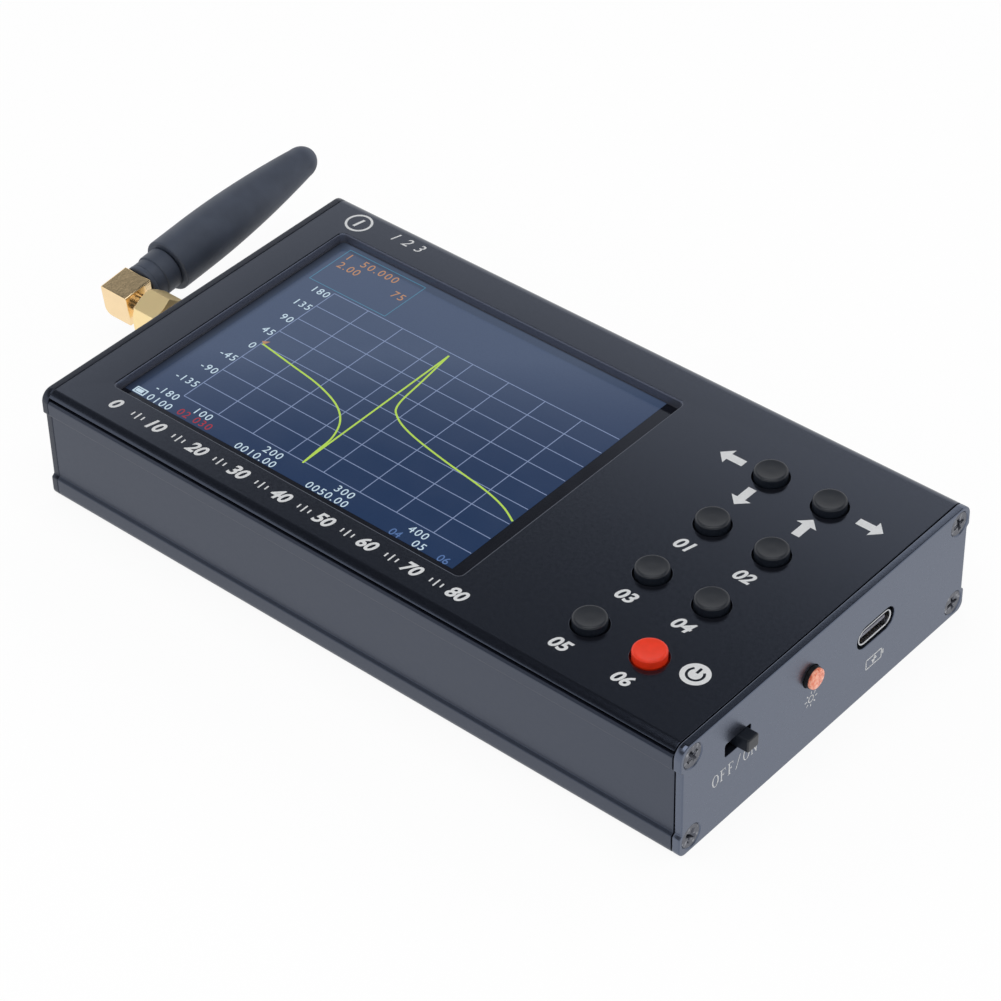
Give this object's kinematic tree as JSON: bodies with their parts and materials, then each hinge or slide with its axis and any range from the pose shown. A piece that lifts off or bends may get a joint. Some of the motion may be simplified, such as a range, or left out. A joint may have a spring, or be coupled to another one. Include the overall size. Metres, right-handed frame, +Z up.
{
  "type": "vector network analyzer",
  "caption": "Handheld radio test instrument: flat two-shell metal case with a recessed display, round keys, a slide power switch, a charging socket and an elbow stub antenna.",
  "frame": {"origin": "centre of the case's underside, on the surface it rests on", "axes": "+X along the case towards the charging socket and power switch, -X towards the antenna; +Y across the case, the way the antenna points; +Z up out of the display"},
  "size_m": [0.1654, 0.0879, 0.0243],
  "materials": {
    "anodised_case": "satin black anodised, fine grain",
    "end_plate": "satin black anodised sheet",
    "screw_steel": "blackened steel",
    "bright_steel": "plain bright steel",
    "circuit_board": "green solder mask",
    "display": "lit liquid crystal panel under smooth glass",
    "key_black": "satin black moulded",
    "key_red": "satin red moulded",
    "switch_black": "black moulded",
    "battery_pouch": "silver laminated pouch",
    "light_lens": "translucent amber",
    "light_sleeve": "black shrink tube",
    "gold_plate": "polished gold plate",
    "insulator": "white fluoropolymer",
    "antenna_rubber": "satin black moulded rubber"
  },
  "bodies": {
    "root": {"base_shell": "anodised_case", "top_cover": "anodised_case", "usb_end_plate": "end_plate", "antenna_end_plate": "end_plate", "usb_plate_screw_1": "screw_steel", "usb_plate_screw_2": "screw_steel", "usb_plate_screw_3": "screw_steel", "usb_plate_screw_4": "screw_steel", "antenna_plate_screw_1": "screw_steel", "antenna_plate_screw_2": "screw_steel", "antenna_plate_screw_3": "screw_steel", "antenna_plate_screw_4": "screw_steel", "main_board": "circuit_board", "display_board": "circuit_board", "display_spacer_1": "bright_steel", "display_spacer_2": "bright_steel", "display_spacer_3": "bright_steel", "display_spacer_4": "bright_steel", "display_screw_1": "bright_steel", "display_screw_2": "bright_steel", "display_screw_3": "bright_steel", "display_screw_4": "bright_steel", "lcd_tray": "bright_steel", "lcd_panel": "display", "tact_switch_a1": "switch_black", "tact_switch_a2": "switch_black", "tact_switch_a3": "switch_black", "tact_switch_a4": "switch_black", "tact_switch_b1": "switch_black", "tact_switch_b2": "switch_black", "tact_switch_b3": "switch_black", "tact_switch_b4": "switch_black", "battery_cell": "battery_pouch", "rf_shield_can": "bright_steel", "processor_chip": "switch_black", "usb_c_shell": "bright_steel", "usb_c_tongue": "switch_black", "status_led": "light_lens", "led_sleeve": "light_sleeve", "slide_switch_body": "bright_steel", "sma_jack": "gold_plate", "sma_insulator": "insulator", "sma_contact": "gold_plate", "sma_washer": "gold_plate", "sma_panel_nut": "gold_plate"},
    "key_a1": {"key_cap_a1": "key_black"},
    "key_a2": {"key_cap_a2": "key_black"},
    "key_a3": {"key_cap_a3": "key_black"},
    "key_a4": {"key_cap_a4": "key_black"},
    "key_b1": {"key_cap_b1": "key_black"},
    "key_b2": {"key_cap_b2": "key_black"},
    "key_b3": {"key_cap_b3": "key_black"},
    "key_b4": {"key_cap_b4": "key_red"},
    "power_knob": {"slide_switch_knob": "switch_black"},
    "plug_nut": {"coupling_nut": "gold_plate"},
    "antenna": {"elbow_block": "gold_plate", "antenna_collar": "antenna_rubber", "antenna_sleeve": "antenna_rubber", "antenna_element": "screw_steel"}
  },
  "joints": [
    {"name": "key_a1_press", "type": "slide", "parent": "root", "child": "key_a1", "axis": [0, 0, -1], "range_m": [0, 0.0005], "stiffness_N_per_m": 300, "springref_m": -0.0003},
    {"name": "key_a2_press", "type": "slide", "parent": "root", "child": "key_a2", "axis": [0, 0, -1], "range_m": [0, 0.0005], "stiffness_N_per_m": 300, "springref_m": -0.0003},
    {"name": "key_a3_press", "type": "slide", "parent": "root", "child": "key_a3", "axis": [0, 0, -1], "range_m": [0, 0.0005], "stiffness_N_per_m": 300, "springref_m": -0.0003},
    {"name": "key_a4_press", "type": "slide", "parent": "root", "child": "key_a4", "axis": [0, 0, -1], "range_m": [0, 0.0005], "stiffness_N_per_m": 300, "springref_m": -0.0003},
    {"name": "key_b1_press", "type": "slide", "parent": "root", "child": "key_b1", "axis": [0, 0, -1], "range_m": [0, 0.0005], "stiffness_N_per_m": 300, "springref_m": -0.0003},
    {"name": "key_b2_press", "type": "slide", "parent": "root", "child": "key_b2", "axis": [0, 0, -1], "range_m": [0, 0.0005], "stiffness_N_per_m": 300, "springref_m": -0.0003},
    {"name": "key_b3_press", "type": "slide", "parent": "root", "child": "key_b3", "axis": [0, 0, -1], "range_m": [0, 0.0005], "stiffness_N_per_m": 300, "springref_m": -0.0003},
    {"name": "key_b4_press", "type": "slide", "parent": "root", "child": "key_b4", "axis": [0, 0, -1], "range_m": [0, 0.0005], "stiffness_N_per_m": 300, "springref_m": -0.0003},
    {"name": "power_switch_slide", "type": "slide", "parent": "root", "child": "power_knob", "axis": [0, -1, 0], "range_m": [0, 0.002]},
    {"name": "plug_nut_spin", "type": "hinge", "parent": "root", "child": "plug_nut", "pos_m": [-0.079, 0, 0.012], "axis": [1, 0, 0], "continuous": true},
    {"name": "antenna_swivel", "type": "hinge", "parent": "root", "child": "antenna", "pos_m": [-0.0885, 0, 0.012], "axis": [1, 0, 0], "continuous": true}
  ]
}
